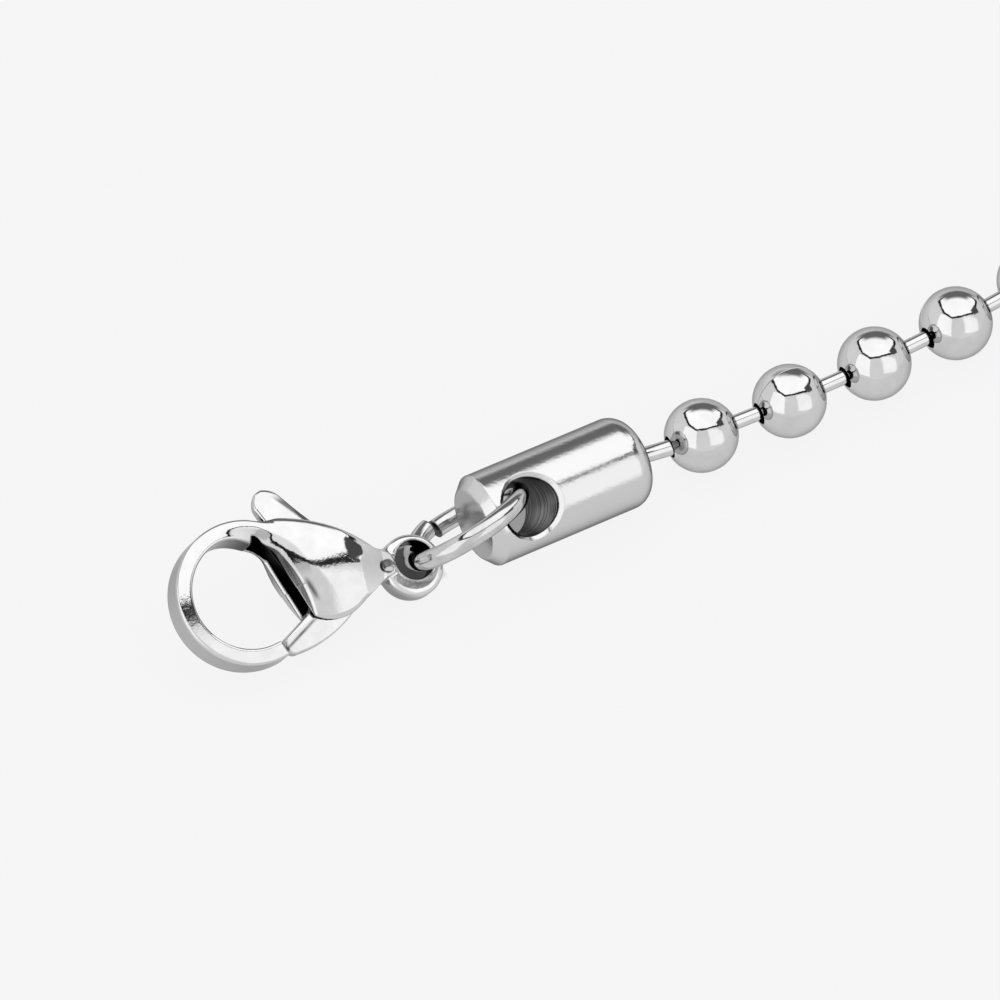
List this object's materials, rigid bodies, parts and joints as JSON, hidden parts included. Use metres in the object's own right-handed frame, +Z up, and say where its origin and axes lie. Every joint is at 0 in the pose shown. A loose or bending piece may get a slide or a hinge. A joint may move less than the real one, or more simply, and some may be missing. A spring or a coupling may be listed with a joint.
{
  "type": "ball chain necklace",
  "caption": "Ball chain necklace lying as an open loop: hollow balls on short rods, a barrel cap and jump ring at each end, and a clasp with a sprung lever at one end.",
  "frame": {"origin": "on the surface that the necklace lies on, under the middle of the loop's bounding box", "axes": "+Z up; the gap in the loop, with the clasp on its right and the far ring on its left, is towards -Y; +X to the right"},
  "size_m": [0.1643, 0.168, 0.0044],
  "materials": {
    "polished_clasp": "mirror polished, satin at the neck and inside the hook",
    "polished_lever": "mirror polished",
    "plain_pin": "plain",
    "polished_ring": "drawn wire, polished",
    "satin_cap": "fine turned satin",
    "polished_balls": "mirror polished",
    "bright_rods": "bright drawn wire"
  },
  "bodies": {
    "necklace": {"clasp_body": "polished_clasp", "lever_pin": "plain_pin", "clasp_ring": "polished_ring", "clasp_end_cap": "satin_cap", "chain_balls": "polished_balls", "chain_links": "bright_rods", "far_end_cap": "satin_cap", "far_ring": "polished_ring"},
    "lever": {"clasp_lever": "polished_lever"}
  },
  "joints": [
    {"name": "clasp_lever_hinge", "type": "hinge", "parent": "necklace", "child": "lever", "pos_m": [0.01307, -0.08075, 0.00135], "axis": [-0.2225, 0.4571, -0.8612], "range_deg": [0, 22], "stiffness_Nm_per_rad": 0.008, "springref_deg": -20.05}
  ]
}
